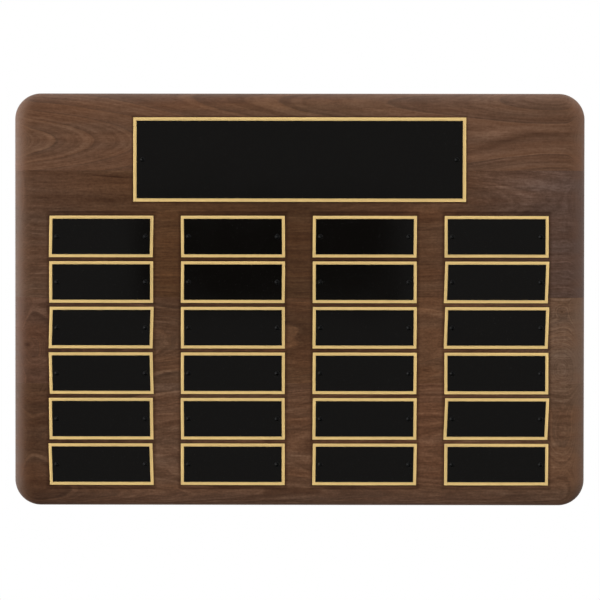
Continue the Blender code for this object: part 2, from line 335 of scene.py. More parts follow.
# %% [markdown]
# ## How the grain of walnut runs
#
# Walnut is a solid, so its figure is worked out in three dimensions and the board's faces
# only cut through it. Each stave came from its own place in a log: a line, the pith, runs
# roughly along it, and the growth rings are distances from that line. Where the pith slopes
# away behind the face the cut shows nested arches, and where it lies far off, long lines.
# A painted pattern would need a picture for every face; this one gives the end grain free.
#
# The grain wanders a little before the distance is taken, and a buried knot lifts the rings
# round it into ovals. Near one end of the top stave the grain is drawn together like a fan.

# %% Grain helpers
def wander(tree, place, scale, shift, amount):
    """Moves a place sideways, never along the board, by slow noise."""
    drift = noise(tree, scaled(tree, place, scale, shift), output="Color")
    centred = vectors(tree, "SUBTRACT", drift, (0.5, 0.5, 0.5))
    aside = vectors(tree, "MULTIPLY", centred, (0, amount, amount))
    return vectors(tree, "ADD", place, aside)


def spot(tree, place, centre, half, lean=0.0):
    """1 on an oval patch of the face at (x, z), fading to 0 outside its half width and
    half height. lean is its slope along the face, in degrees."""
    local = add_node(
        tree,
        "Mapping",
        {
            "Vector": place,
            "Location": (centre[0] * MM, 0, centre[1] * MM),
            "Rotation": (0, math.radians(-lean), 0),
            "Scale": (half[0] * MM, 1, half[1] * MM),
        },
        vector_type="TEXTURE",
    ).outputs[0]
    distance = vectors(tree, "LENGTH", vectors(tree, "MULTIPLY", local, (1, 0, 1)))
    square = maths(tree, "MULTIPLY", distance, distance)
    return maths(tree, "EXPONENT", maths(tree, "MULTIPLY", square, -1.0))


def summed(tree, value, spots):
    """Adds each (spot, strength) to a value."""
    for patch, strength in spots:
        value = maths(tree, "MULTIPLY_ADD", patch, strength, value)
    return value


def from_pith(tree, place, pith, lean, bend):
    """A place as seen from the pith, which passes through a point, leans back and up by
    lean along the board, and bends back by bend."""
    part = add_node(tree, "SeparateXYZ", {0: place})
    along = maths(tree, "SUBTRACT", part.outputs["X"], pith[0])
    slope = maths(tree, "MULTIPLY_ADD", along, bend, lean[0])
    pith_y = maths(tree, "MULTIPLY_ADD", along, slope, pith[1])
    pith_z = maths(tree, "MULTIPLY_ADD", along, lean[1], pith[2])
    away_y = maths(tree, "SUBTRACT", part.outputs["Y"], pith_y)
    away_z = maths(tree, "SUBTRACT", part.outputs["Z"], pith_z)
    return add_node(tree, "CombineXYZ", {0: along, 1: away_y, 2: away_z}).outputs[0]


def pinched(tree, place, middle, amount):
    """Draws the grain together towards a height as it nears the right end."""
    part = add_node(tree, "SeparateXYZ", {0: place})
    grip = between(tree, part.outputs["X"], 90 * MM, 155 * MM, 0.0, amount)
    away = maths(tree, "SUBTRACT", part.outputs["Z"], middle)
    moved = maths(tree, "MULTIPLY_ADD", away, grip, part.outputs["Z"])
    return add_node(
        tree, "CombineXYZ", {0: part.outputs["X"], 1: part.outputs["Y"], 2: moved}
    ).outputs[0]


# %% [markdown]
# A thin darker line is painted into the wood round each plate: painted contact shadow, where
# the plate meets the wood. It could be a ring of its own material, but as the plates stand
# in a regular grid, one folded distance finds the gap to the nearest of them everywhere.

# %% The painted shadow line round the plates
GRID_HALF = (0.156, 0.085)  # how far the grid of plates reaches from its middle
# how far the painted contact shadow reaches from the name plates and from the header
NAME_SHADOW_WIDTH = 2.2 * MM
HEADER_SHADOW_WIDTH = 1.6 * MM


def outside(tree, part, middle, half, pitch=None):
    """How far a place on the face is outside a plate, or the nearest plate of a grid."""
    gaps = []
    for axis, index in (("X", 0), ("Z", 1)):
        away = maths(tree, "SUBTRACT", part.outputs[axis], middle[index])
        if pitch:
            away = maths(tree, "PINGPONG", away, pitch[index] / 2)
        away = maths(tree, "ABSOLUTE", away)
        gaps.append(maths(tree, "SUBTRACT", away, half[index]))
    return maths(tree, "MAXIMUM", *gaps)


def painted_shadow_line(tree, place):
    """1 where the wood touches a plate, fading to 0 a millimetre or two away."""
    part = add_node(tree, "SeparateXYZ", {0: place})
    low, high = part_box("header_plate")
    middle = (low + high) / 2
    half = (high - low) / 2
    header_gap = outside(tree, part, (middle.x, middle.z), (half.x, half.z))
    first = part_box("name_plate_r1_c1")
    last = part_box("name_plate_r6_c4")
    corner = (first[0] + first[1]) / 2
    far = (last[0] + last[1]) / 2
    pitch = ((far.x - corner.x) / 3, (corner.z - far.z) / 5)
    half = (first[1] - first[0]) / 2
    grid_gap = outside(tree, part, (corner.x, corner.z), (half.x, half.z), pitch)
    inside_x = maths(tree, "COMPARE", part.outputs["X"], (corner.x + far.x) / 2, GRID_HALF[0])
    inside_z = maths(tree, "COMPARE", part.outputs["Z"], (corner.z + far.z) / 2, GRID_HALF[1])
    in_grid = maths(tree, "MULTIPLY", inside_x, inside_z)
    line = between(tree, grid_gap, 0.0, NAME_SHADOW_WIDTH, 1.0, 0.0)
    line = maths(tree, "MULTIPLY", line, in_grid)
    line = maths(tree, "MAXIMUM", line, between(tree, header_gap, 0.0, HEADER_SHADOW_WIDTH, 1.0, 0.0))
    on_face = between(tree, part.outputs["Y"], board_low.y, board_low.y + 1 * MM, 1.0, 0.0)
    return maths(tree, "MULTIPLY", line, on_face)


# %% [markdown]
# ## The wood
# Two long bands, darker along the top and bottom edges of the board, are painted shade.
#
# Within a ring walnut turns lighter towards the rim, ends in a thin pale line, and starts
# again grey. Over the rings lie layers of noise drawn out along the log, each finer than the
# one before: clouds, streaks, fibres, the silk of the cut fibres and the open pores. A few
# dark streaks and pin knots are placed one by one, because chance never puts them just there.
#
# Where the round of the edge cuts steeply across the grain, the layers would crowd into
# lines, so they are calmed there. All of it multiplies one slow ramp of the stave's colours.

# %% Walnut
RING_TINTS = [
    (0.00, (0.62, 0.64, 0.66)),
    (0.10, (0.68, 0.68, 0.69)),
    (0.34, (0.77, 0.76, 0.75)),
    (0.62, (0.78, 0.77, 0.76)),
    (0.84, (0.90, 0.90, 0.89)),
    (0.90, (0.98, 0.99, 0.98)),
    (0.97, (0.94, 0.94, 0.93)),
    (1.00, (0.70, 0.71, 0.72)),
]
PLAIN_TINT = (0.80, 0.80, 0.80, 1.0)
TINT_MAKE_UP = 1.25  # undoes the darkening of the plain tint
DARKENING = (1.0, 1.2, 1.4)  # how much faster green and blue fade than red
WARMER = (1.05, 0.985, 0.93, 1)
GREYER = (0.96, 1.01, 1.07, 1)
END_GRAIN_TONE = -0.18
PORE_TONE = -0.22
# how dark the painted contact shadow round the plates is
SHADOW_LINE_TONE = -0.55
FIRST_STOP = 0.035  # where the colour ramp begins along the board
STOP_STEP = 0.2325
# How fine each layer is: features a metre along the log, then in the two ways across it.
SLOW_DRIFT = (3.2, 13, 13)
DRIFT = (14, 50, 50)
RIPPLES = (42, 110, 110)
CLOUDS = (6, 22, 22)
HUES = (9, 70, 70)
STREAKS = (14, 60, 190)
FIBRES = (40, 110, 460)
STROKES = (160, 220, 900)
FLECKS = (700, 500, 900)
SILK = (60, 600, 2600)
PORES = (150, 900, 2100)


def walnut(
    name, pith, lean, bend, ring, phase, pace, rings, waviness, ripple, contrast, seed,
    tones, knots, marks, pinch=(0.0, 0.0)
):
    """ring is the width of a year, pace how unevenly the years go and rings how strongly they
    show. tones are the wood's colours from left to right. Each knot is (centre, half size,
    lift) and each mark (centre, half size, slope, strength), all on the face in mm. pinch is
    the height that the grain is drawn together to, and how strongly."""
    made, tree, shader = new_material(name)
    place = add_node(tree, "TexCoord").outputs["Object"]
    shift = (seed * 1.7, seed * 3.1, seed * 5.3)

    wavy = pinched(tree, place, pinch[0] * MM, pinch[1])
    wavy = wander(tree, wavy, SLOW_DRIFT, shift, 11 * MM * waviness)
    wavy = wander(tree, wavy, DRIFT, shift, 3.2 * MM * waviness)
    wavy = wander(tree, wavy, RIPPLES, shift, ripple * MM)
    log = from_pith(tree, wavy, pith, lean, bend)
    distance = vectors(tree, "LENGTH", vectors(tree, "MULTIPLY", log, (0, 1, 1)))
    lifts = [(spot(tree, wavy, centre, half), lift * MM) for centre, half, lift in knots]
    distance = summed(tree, distance, lifts)

    years = maths(tree, "MULTIPLY_ADD", distance, 1 / ring, phase)
    years = maths(tree, "MULTIPLY_ADD", line_noise(tree, years, 0.33, 1.0), pace, years)
    year_mark = add_node(
        tree, "TexWhiteNoise", {"W": maths(tree, "FLOOR", years)}, noise_dimensions="1D"
    ).outputs["Value"]
    ring_tint = colour_ramp(tree, maths(tree, "FRACT", years), RING_TINTS)
    facing = add_node(tree, "NewGeometry").outputs["Normal"]
    end_on = vectors(tree, "DOT_PRODUCT", facing, (1, 0, 0))
    end_on = maths(tree, "MULTIPLY", end_on, end_on)
    on_curve = maths(tree, "MULTIPLY", maths(tree, "SUBTRACT", 1.0, end_on), end_on)
    calm = maths(tree, "MULTIPLY_ADD", on_curve, -3.2, 1.0)
    strength = maths(tree, "MULTIPLY", between(tree, year_mark, 0.0, 0.8, 0.45, 1.0), rings)
    strength = maths(tree, "MULTIPLY", strength, calm)
    ring_tint = blend_colours(tree, strength, PLAIN_TINT, ring_tint)

    cloud = noise(tree, scaled(tree, wavy, CLOUDS, shift), 2.0, 0.5)
    hue = noise(tree, scaled(tree, wavy, HUES, (shift[2], shift[0], shift[1])), 2.0, 0.6)
    band = line_noise(tree, maths(tree, "DIVIDE", distance, ring), 4.2, 3.0, 0.65)
    streak = noise(tree, scaled(tree, wavy, STREAKS, shift), 3.0, 0.6)
    fibre = noise(tree, scaled(tree, log, FIBRES, shift), 3.0, 0.6)
    stroke = noise(tree, scaled(tree, log, STROKES, shift), 2.0, 0.55)
    fleck = noise(tree, scaled(tree, place, FLECKS, shift), 1.0, 0.5)
    silk = noise(tree, scaled(tree, log, SILK, shift), 2.0, 0.6)
    cells = add_node(tree, "TexVoronoi", {"Vector": scaled(tree, log, PORES), "Scale": 1.0})
    pore = between(tree, cells.outputs["Distance"], 0.20, 0.45, 1.0, 0.0)
    chosen = add_node(tree, "SeparateColor", {"Color": cells.outputs["Color"]}).outputs[0]
    pore = maths(tree, "MULTIPLY", pore, between(tree, chosen, 0.45, 0.7))

    tone = between(tree, cloud, 0.25, 0.75, -0.10, 0.10)
    layers = [
        (band, 0.17), (streak, 0.11), (fibre, 0.12), (stroke, 0.10), (silk, 0.06), (fleck, 0.10)
    ]
    for source, amount in layers:
        amount *= contrast
        tone = maths(tree, "ADD", tone, between(tree, source, 0.2, 0.8, -amount, amount))
    tone = maths(tree, "MULTIPLY", tone, calm)
    tone = maths(tree, "MULTIPLY_ADD", pore, PORE_TONE, tone)
    by_hand = [
        (spot(tree, wavy, centre, half, slope), depth) for centre, half, slope, depth in marks
    ]
    tone = summed(tree, tone, by_hand)
    # painted contact shadow: a thin darker line in the wood round every plate
    tone = maths(tree, "MULTIPLY_ADD", painted_shadow_line(tree, place), SHADOW_LINE_TONE, tone)
    end_grain = maths(tree, "MULTIPLY", end_on, end_on)
    tone = maths(tree, "MULTIPLY_ADD", end_grain, END_GRAIN_TONE, tone)

    fade = [maths(tree, "EXPONENT", maths(tree, "MULTIPLY", tone, rate)) for rate in DARKENING]
    shade = add_node(tree, "CombineColor", dict(enumerate(fade))).outputs[0]
    across = add_node(tree, "SeparateXYZ", {0: place}).outputs["X"]
    across = add_node(
        tree, "MapRange", {"Value": across, "From Min": board_low.x, "From Max": board_high.x}
    ).outputs[0]
    stops = [
        (FIRST_STOP + STOP_STEP * index, [channel * TINT_MAKE_UP for channel in tint])
        for index, tint in enumerate(tones)
    ]
    colour = colour_ramp(tree, across, stops)
    colour = blend_colours(tree, 1.0, colour, ring_tint, "MULTIPLY")
    colour = blend_colours(tree, 1.0, colour, shade, "MULTIPLY")
    warmer = blend_colours(tree, 1.0, colour, WARMER, "MULTIPLY")
    greyer = blend_colours(tree, 1.0, colour, GREYER, "MULTIPLY")
    colour = blend_colours(tree, between(tree, hue, 0.3, 0.7), warmer, greyer)
    tree.links.new(colour, shader.inputs["Base Color"])

    rough = between(tree, fibre, 0.2, 0.8, 0.50, 0.60)
    rough = maths(tree, "MULTIPLY_ADD", pore, 0.15, rough)
    tree.links.new(rough, shader.inputs["Roughness"])
    shader.inputs["IOR"].default_value = 1.45

    height = maths(tree, "SUBTRACT", maths(tree, "MULTIPLY", fibre, 0.35), pore)
    bump = add_node(tree, "Bump", {"Height": height, "Strength": 0.35, "Distance": 0.05 * MM})
    tree.links.new(bump.outputs["Normal"], shader.inputs["Normal"])
    print(name, "has", len(tree.nodes), "nodes,", len(knots), "knots and", len(marks), "marks")
    return made


# %% [markdown]
# ## The four staves
#
# On the bench the staves are glued up first, and only then is the panel cut to length, its
# corners rounded and its edge run past a router. The lesson works in the same order. One
# cube is the whole panel. Bevels make the corners, then the round front edge, then the small
# ease at the back, and level cuts part it into staves with a hair's breadth of glue between.

# %% Shape the board
CORNER_RADIUS = 15.9 * MM
FRONT_ROUND = 12.7 * MM
BACK_EASE = 1.5 * MM
GLUE = 0.04 * MM


def rounded(bm, edges, radius, segments):
    return bmesh.ops.bevel(
        bm,
        geom=edges,
        offset=radius,
        offset_type="OFFSET",
        affect="EDGES",
        segments=segments,
        profile=0.5,
        material=-1,
    )


def box_between(bm, low, high):
    low = Vector(low)
    high = Vector(high)
    verts = bmesh.ops.create_cube(bm, size=1.0)["verts"]
    bmesh.ops.scale(bm, vec=high - low, verts=verts)
    bmesh.ops.translate(bm, vec=(low + high) / 2, verts=verts)
    return verts


def along_y(edge):
    return abs((edge.verts[1].co - edge.verts[0].co).normalized().y) > 0.99


def at_depth(edge, y):
    return all(abs(vert.co.y - y) < 1e-6 for vert in edge.verts)


def smooth_mesh(mesh, angle=32):
    mesh.shade_smooth()
    mesh.set_sharp_from_angle(angle=math.radians(angle))


def finished_mesh(bm, name, angle=32):
    bmesh.ops.recalc_face_normals(bm, faces=bm.faces)
    mesh = bpy.data.meshes.new(name)
    bm.to_mesh(mesh)
    bm.free()
    smooth_mesh(mesh, angle)
    return mesh


def whole_board():
    bm = bmesh.new()
    box_between(bm, board_low, board_high)
    rounded(bm, [e for e in bm.edges if along_y(e)], CORNER_RADIUS, 28)
    rounded(bm, [e for e in bm.edges if at_depth(e, board_low.y)], FRONT_ROUND, 20)
    rounded(bm, [e for e in bm.edges if at_depth(e, board_high.y)], BACK_EASE, 5)
    flats = [f for f in bm.faces if abs(f.normal.y) > 0.9999]
    bmesh.ops.inset_individual(bm, faces=flats, thickness=1.5 * MM)
    return bm


def saw(bm, height, keep_below):
    """Cuts the board level with height, and closes the sawn face."""
    cut = bmesh.ops.bisect_plane(
        bm,
        geom=[*bm.verts, *bm.edges, *bm.faces],
        plane_co=(0, 0, height),
        plane_no=(0, 0, 1),
        clear_outer=keep_below,
        clear_inner=not keep_below,
    )
    rim = [item for item in cut["geom_cut"] if isinstance(item, bmesh.types.BMEdge)]
    bmesh.ops.holes_fill(bm, edges=rim, sides=0)


def stave_bmesh(board, index):
    bm = board.copy()
    if index > 0:
        above = (stave_boxes[index - 1][0].z + stave_boxes[index][1].z) / 2
        saw(bm, above - GLUE / 2, keep_below=True)
    if index < len(STAVES) - 1:
        below = (stave_boxes[index][0].z + stave_boxes[index + 1][1].z) / 2
        saw(bm, below + GLUE / 2, keep_below=False)
    return bm


# %% [markdown]
# The hangers are let into the back of the top stave. A router sinks a shallow recess for
# each plate and a deeper pocket behind its keyhole. Both are cut with a Boolean, because a
# hole in the middle of a large flat face has no edge that a bevel or an extrusion could use.

# %% Rout the back of the top stave
def carve(mesh, cutters):
    """Cuts each bmesh in cutters out of a mesh, and returns the new mesh."""
    work = link_object("work", mesh)
    tools = []
    for bm in cutters:
        tools.append(link_object("tool", finished_mesh(bm, "tool")))
        step = work.modifiers.new("cut", "BOOLEAN")
        step.operation = "DIFFERENCE"
        step.solver = "EXACT"
        step.object = tools[-1]
    bpy.context.view_layer.update()
    view = bpy.context.evaluated_depsgraph_get()
    made = bpy.data.meshes.new_from_object(work.evaluated_get(view), depsgraph=view)
    for thing in [work, *tools]:
        bpy.data.objects.remove(thing)
    return made


HANGERS = ("hanger_plate_left", "hanger_plate_right")
HANGER_CORNER = 3.0 * MM
FIT = 0.1 * MM  # how closely the plates sit in their recesses
CUTTER_START = 1.0 * MM  # how far outside the board a cutter begins
POCKET_HALF = Vector((5.25, 0, 10.75)) * MM
POCKET_DEPTH = 9.0 * MM
POCKET_CORNER = 4.2 * MM


def rounded_block(low, high, radius, segments):
    bm = bmesh.new()
    box_between(bm, low, high)
    rounded(bm, [e for e in bm.edges if along_y(e)], radius, segments)
    return bm


def hanger_recess(node):
    low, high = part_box(node)
    low = (low.x - FIT, low.y, low.z - FIT)
    high = (high.x + FIT, high.y + CUTTER_START, high.z + FIT)
    return rounded_block(low, high, HANGER_CORNER, 8)


def hanger_pocket(node):
    low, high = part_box(node)
    middle = (low + high) / 2
    low = middle - POCKET_HALF
    high = middle + POCKET_HALF
    low.y = -POCKET_DEPTH
    high.y = CUTTER_START
    return rounded_block(low, high, POCKET_CORNER, 6)


board = whole_board()
stave_meshes = [
    finished_mesh(stave_bmesh(board, index), f"walnut_stave_{index + 1}")
    for index in range(len(STAVES))
]
board.free()
cutters = [hanger_recess(node) for node in HANGERS] + [hanger_pocket(node) for node in HANGERS]
stave_meshes[0] = carve(stave_meshes[0], cutters)
smooth_mesh(stave_meshes[0])
print("faces of the staves:", [len(mesh.polygons) for mesh in stave_meshes])

# %% [markdown]
# Each stave now gets the wood of its own log. The top one is cut close to the pith, which
# slopes through it and draws arches at its left end. The second is straight and darker. The
# third and fourth are flat sawn, with small buried knots that the rings flow round.

# %% Give the staves their wood
FACE = board_low.y
WOODS = [
    walnut(
        "walnut_1",
        pith=(-148.5 * MM, FACE + 10.9 * MM, 97.2 * MM),
        lean=(0.197, 0.0),
        bend=-0.33,
        ring=4.45 * MM,
        phase=0.551,
        pace=0.0,
        rings=1.0,
        waviness=0.10,
        ripple=0.5,
        contrast=0.95,
        seed=1.0,
        tones=[
            (0.155, 0.074, 0.039), (0.155, 0.074, 0.039), (0.150, 0.073, 0.037),
            (0.159, 0.078, 0.043), (0.160, 0.081, 0.046),
        ],
        knots=[],
        marks=[
            ((127, 97.0), (19, 2.0), 13, -0.45),
            ((153, 101.5), (14, 1.8), 0, -0.38),
            ((128, 83.5), (20, 0.6), 6, 0.28),
            ((119, 102.5), (10, 3.0), 6, 0.36),
            # painted shade: a long darker band along the top edge of the board
            ((0, 123), (180, 5), 0, -0.12),
        ],
        pinch=(101.5, 0.35),
    ),
    walnut(
        "walnut_2",
        pith=(0, FACE + 75 * MM, 62 * MM),
        lean=(0.012, -0.012),
        bend=0.05,
        ring=3.1 * MM,
        phase=0.2,
        pace=1.8,
        rings=0.35,
        waviness=0.35,
        ripple=0.8,
        contrast=1.35,
        seed=2.0,
        tones=[
            (0.130, 0.066, 0.037), (0.109, 0.047, 0.018), (0.081, 0.035, 0.014),
            (0.120, 0.054, 0.025), (0.112, 0.063, 0.044),
        ],
        knots=[],
        marks=[
            ((-149, 77), (22, 1.8), 0, -0.25),
            ((-113, 75.2), (13, 0.6), -4, -0.65),
            ((-155, 63), (8, 1.0), 0, -0.25),
            ((-118.5, 62), (15, 2.4), 0, -0.35),
            ((122, 69.4), (20, 0.4), 0, 0.20),
            ((138, 67), (26, 9), 0, 0.30),
        ],
    ),
    walnut(
        "walnut_3",
        pith=(0, FACE + 62 * MM, -22 * MM),
        lean=(0.05, 0.02),
        bend=0.0,
        ring=2.6 * MM,
        phase=0.0,
        pace=2.0,
        rings=0.9,
        waviness=0.55,
        ripple=1.5,
        contrast=1.4,
        seed=3.0,
        tones=[
            (0.116, 0.054, 0.030), (0.117, 0.057, 0.029), (0.116, 0.051, 0.022),
            (0.148, 0.070, 0.034), (0.168, 0.093, 0.055),
        ],
        knots=[
            ((159.3, -38.4), (19.0, 20.0), 16.0),
            ((160.2, -6.9), (3.0, 2.4), 3.0),
            ((-166.4, -28.0), (26.0, 20.0), 13.0),
            ((-166.4, -28.0), (4.0, 3.0), 3.0),
        ],
        marks=[
            ((-166.4, -28.0), (1.5, 1.2), 0, -0.7),
            ((160.2, -6.9), (1.1, 0.9), 0, -0.8),
            ((-84, -32), (4, 1.0), 40, -0.3),
        ],
    ),
    walnut(
        "walnut_4",
        pith=(0, FACE + 68 * MM, -92 * MM),
        lean=(-0.04, 0.0),
        bend=0.1,
        ring=3.4 * MM,
        phase=0.0,
        pace=2.0,
        rings=0.75,
        waviness=0.6,
        ripple=1.5,
        contrast=1.5,
        seed=4.0,
        tones=[
            (0.101, 0.045, 0.021), (0.158, 0.081, 0.045), (0.141, 0.067, 0.034),
            (0.145, 0.066, 0.033), (0.153, 0.079, 0.043),
        ],
        knots=[((-160, -106), (24, 15), 5.0), ((161, -84), (15, 18), 8.0)],
        marks=[
            # painted shade: a faint darker band along the bottom edge of the board
            ((0, -124), (170, 6), 0, -0.03),
            ((-158, -54), (2.6, 0.5), 60, -0.45),
            ((-155.5, -54.5), (2.2, 0.4), 60, -0.35),
        ],
    ),
]


def add_piece(name, mesh, materials, node):
    """Puts a finished mesh on the only body, in place of its CAD node if it has one."""
    mesh.materials.clear()
    for item in materials:
        mesh.materials.append(item)
    made = link_object(name, mesh)
    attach(made, "root")
    if node:
        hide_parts(node)
    return made


for number, (mesh, wood, node) in enumerate(zip(stave_meshes, WOODS, STAVES), start=1):
    piece = add_piece(f"walnut_stave_{number}", mesh, [wood], node)
    print(piece.name, "stands for", node)

# %% [markdown]
# ## Brass and black
#
# The plates are engraving brass: sheet with a black lacquer face that stops short of the
# edge, so a bare brass line frames it. Brass rolled for engraving is satin, with the faint
# lines of its rolling along the sheet. The lacquer is smooth and deep, and shows only a
# little dust and a slight orange peel.

# %% Plate finishes
def satin_brass():
    made, tree, shader = new_material("satin brass")
    place = add_node(tree, "TexCoord").outputs["Object"]
    rolled = noise(tree, scaled(tree, place, (60, 4000, 4000)), 3.0, 0.6)
    cloud = noise(tree, scaled(tree, place, (24, 24, 24)), 2.0)
    tint = blend_colours(
        tree, between(tree, cloud, 0.3, 0.7), (0.83, 0.59, 0.245, 1), (0.79, 0.565, 0.24, 1)
    )
    tree.links.new(tint, shader.inputs["Base Color"])
    shader.inputs["Metallic"].default_value = 1.0
    rough = between(tree, rolled, 0.2, 0.8, 0.42, 0.54)
    tree.links.new(rough, shader.inputs["Roughness"])
    bump = add_node(tree, "Bump", {"Height": rolled, "Strength": 0.25, "Distance": 0.01 * MM})
    tree.links.new(bump.outputs["Normal"], shader.inputs["Normal"])
    return made


def black_lacquer():
    made, tree, shader = new_material("black lacquer")
    place = add_node(tree, "TexCoord").outputs["Object"]
    haze = noise(tree, scaled(tree, place, (30, 30, 30)), 3.0)
    specks = noise(tree, scaled(tree, place, (2500, 2500, 2500)), 1.0)
    dust = between(tree, specks, 0.72, 0.80)
    dusted = maths(tree, "MULTIPLY", dust, 0.3)
    tint = blend_colours(tree, dusted, srgb(12, 10, 8), srgb(60, 58, 55))
    tree.links.new(tint, shader.inputs["Base Color"])
    rough = between(tree, haze, 0.3, 0.7, 0.045, 0.075)
    rough = maths(tree, "ADD", rough, dusted)
    tree.links.new(rough, shader.inputs["Roughness"])
    orange_peel = noise(tree, scaled(tree, place, (220, 220, 220)), 2.0)
    bump = add_node(
        tree, "Bump", {"Height": orange_peel, "Strength": 0.1, "Distance": 0.01 * MM}
    )
    tree.links.new(bump.outputs["Normal"], shader.inputs["Normal"])
    return made


BRASS = satin_brass()
LACQUER = black_lacquer()
print("plate finishes:", BRASS.name, "and", LACQUER.name)

# %% [markdown]
# A plate is a thin block: the node's box gives its size, and the node's corners give the
# lean of its ends, because the strip wasn't always guillotined square. The lacquered field
# is an inset of the front face, raised by the film's own thickness. Two small holes take
# the screws.

# %% Make the plates
HEADER_BORDER = 2.02 * MM
NAME_BORDER = 1.83 * MM
SHEET = 0.7 * MM
PLATE_EASE = 0.12 * MM  # how far the sheared edges are dulled
LACQUER_FILM = 0.03 * MM
HOLE_RADIUS = 0.85 * MM
HEADER_SCREW_INSET = 5.6 * MM
NAME_SCREW_INSET = 4.7 * MM
NAME_NODES = sorted(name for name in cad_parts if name.startswith("name_plate_"))
plate_back = FACE - 0.02 * MM  # a plate never quite touches the wood
plate_face = plate_back - SHEET


def plate_shape(node):
    """The plate's middle, width and height, and how far its top stands right of its bottom."""
    low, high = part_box(node)
    verts = [vert.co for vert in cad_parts[node].data.vertices]
    top = [co.x for co in verts if high.z - co.z < 1e-5]
    bottom = [co.x for co in verts if co.z - low.z < 1e-5]
    lean = (min(top) + max(top)) / 2 - (min(bottom) + max(bottom)) / 2
    width = high.x - low.x - abs(lean)
    return (low + high) / 2, width, high.z - low.z, lean


def front_face(bm):
    facing = [f for f in bm.faces if f.normal.y < -0.99]
    return max(facing, key=lambda face: face.calc_area())


def screw_places(node, inset):
    middle, width, _, _ = plate_shape(node)
    reach = width / 2 - inset
    return [(middle.x - reach, middle.z), (middle.x + reach, middle.z)]


def hole_cutters(places, radius):
    bm = bmesh.new()
    for x, z in places:
        place = Matrix.Translation((x, plate_face, z)) @ Matrix.Rotation(math.pi / 2, 4, "X")
        bmesh.ops.create_cone(
            bm,
            cap_ends=True,
            segments=24,
            radius1=radius,
            radius2=radius,
            depth=4 * SHEET,
            matrix=place,
        )
    return bm


def plate_mesh(node, border, places):
    middle, width, height, lean = plate_shape(node)
    bm = bmesh.new()
    low = (middle.x - width / 2, plate_face, middle.z - height / 2)
    high = (middle.x + width / 2, plate_back, middle.z + height / 2)
    for vert in box_between(bm, low, high):
        vert.co.x += lean * (vert.co.z - middle.z) / height
    rounded(bm, bm.edges[:], PLATE_EASE, 2)
    bm.normal_update()
    field = front_face(bm)
    bare = border - PLATE_EASE
    bmesh.ops.inset_region(bm, faces=[field], thickness=bare, use_even_offset=True)
    film = bmesh.ops.extrude_face_region(bm, geom=[field])["geom"]
    lifted = [item for item in film if isinstance(item, bmesh.types.BMVert)]
    bmesh.ops.translate(bm, vec=(0, -LACQUER_FILM, 0), verts=lifted)
    bmesh.ops.delete(bm, geom=[field], context="FACES_ONLY")
    bm.normal_update()
    front_face(bm).material_index = 1
    for face in bm.faces:
        if abs(face.normal.y) < 0.5 and face.calc_center_median().y < plate_face:
            face.material_index = 1
    mesh = finished_mesh(bm, node)
    mesh.materials.append(BRASS)
    mesh.materials.append(LACQUER)
    mesh = carve(mesh, [hole_cutters(places, HOLE_RADIUS)])
    smooth_mesh(mesh)
    return mesh


def add_plate(name, node, border, inset):
    """Adds a plate, and keeps each face's finish while the material slots are refilled."""
    mesh = plate_mesh(node, border, screw_places(node, inset))
    finishes = [face.material_index for face in mesh.polygons]
    made = add_piece(name, mesh, [BRASS, LACQUER], node)
    mesh.polygons.foreach_set("material_index", finishes)
    return made


header = add_plate("header_brass", "header_plate", HEADER_BORDER, HEADER_SCREW_INSET)
plates = [header]
for node in NAME_NODES:
    name = node.replace("name_plate", "name_brass")
    plates.append(add_plate(name, node, NAME_BORDER, NAME_SCREW_INSET))
print(len(NAME_NODES), "name plates,", len(header.data.polygons), "faces in the header")

# %% [markdown]
# ## Screws
#
# Each plate is held by two small round-head screws, blackened so that they sink into the
# lacquer. A screw is turned: a profile of a few points spun round its axis. The cross in
# its head is cut by two tapered blades, and the finished screw is copied to each hole, each
# turned to the angle at which it happened to pull tight.

# %% Make one plate screw
def blackened_steel():
    made, tree, shader = new_material("blackened steel")
    place = add_node(tree, "TexCoord").outputs["Object"]
    wear = noise(tree, scaled(tree, place, (900, 900, 900)), 3.0)
    rubbed = between(tree, wear, 0.55, 0.75, 0.0, 0.35)
    tint = blend_colours(tree, rubbed, srgb(14, 14, 14), srgb(52, 49, 45))
    tree.links.new(tint, shader.inputs["Base Color"])
    shader.inputs["Metallic"].default_value = 0.3
    tree.links.new(between(tree, wear, 0.3, 0.7, 0.22, 0.36), shader.inputs["Roughness"])
    return made


def turned(profile, steps):
    """Spins (radius, height) points round Z into a closed solid."""
    bm = bmesh.new()
    verts = [bm.verts.new((radius, 0, height)) for radius, height in profile]
    edges = [bm.edges.new(pair) for pair in zip(verts, verts[1:])]
    bmesh.ops.spin(
        bm,
        geom=verts + edges,
        cent=(0, 0, 0),
        axis=(0, 0, 1),
        dvec=(0, 0, 0),
        angle=2 * math.pi,
        steps=steps,
        use_merge=True,
    )
    bmesh.ops.remove_doubles(bm, verts=bm.verts, dist=0.001 * MM)
    return bm


def driver_blade(reach, width, top, bottom, angle):
    """One blade of a cross driver: wide at the top of the head and narrower at its tip."""
    bm = bmesh.new()
    for vert in box_between(bm, (-reach, -width / 2, bottom), (reach, width / 2, top)):
        if vert.co.z < (top + bottom) / 2:
            vert.co.x *= 0.45
            vert.co.y *= 0.8
    bmesh.ops.rotate(bm, verts=bm.verts, cent=(0, 0, 0), matrix=Matrix.Rotation(angle, 3, "Z"))
    return bm


def dome(radius, height, steps):
    """Points down a low dome, from its top to its rim."""
    turns = [math.pi / 2 * step / steps for step in range(steps)]
    return [(radius * math.sin(turn), height * math.cos(turn)) for turn in turns]


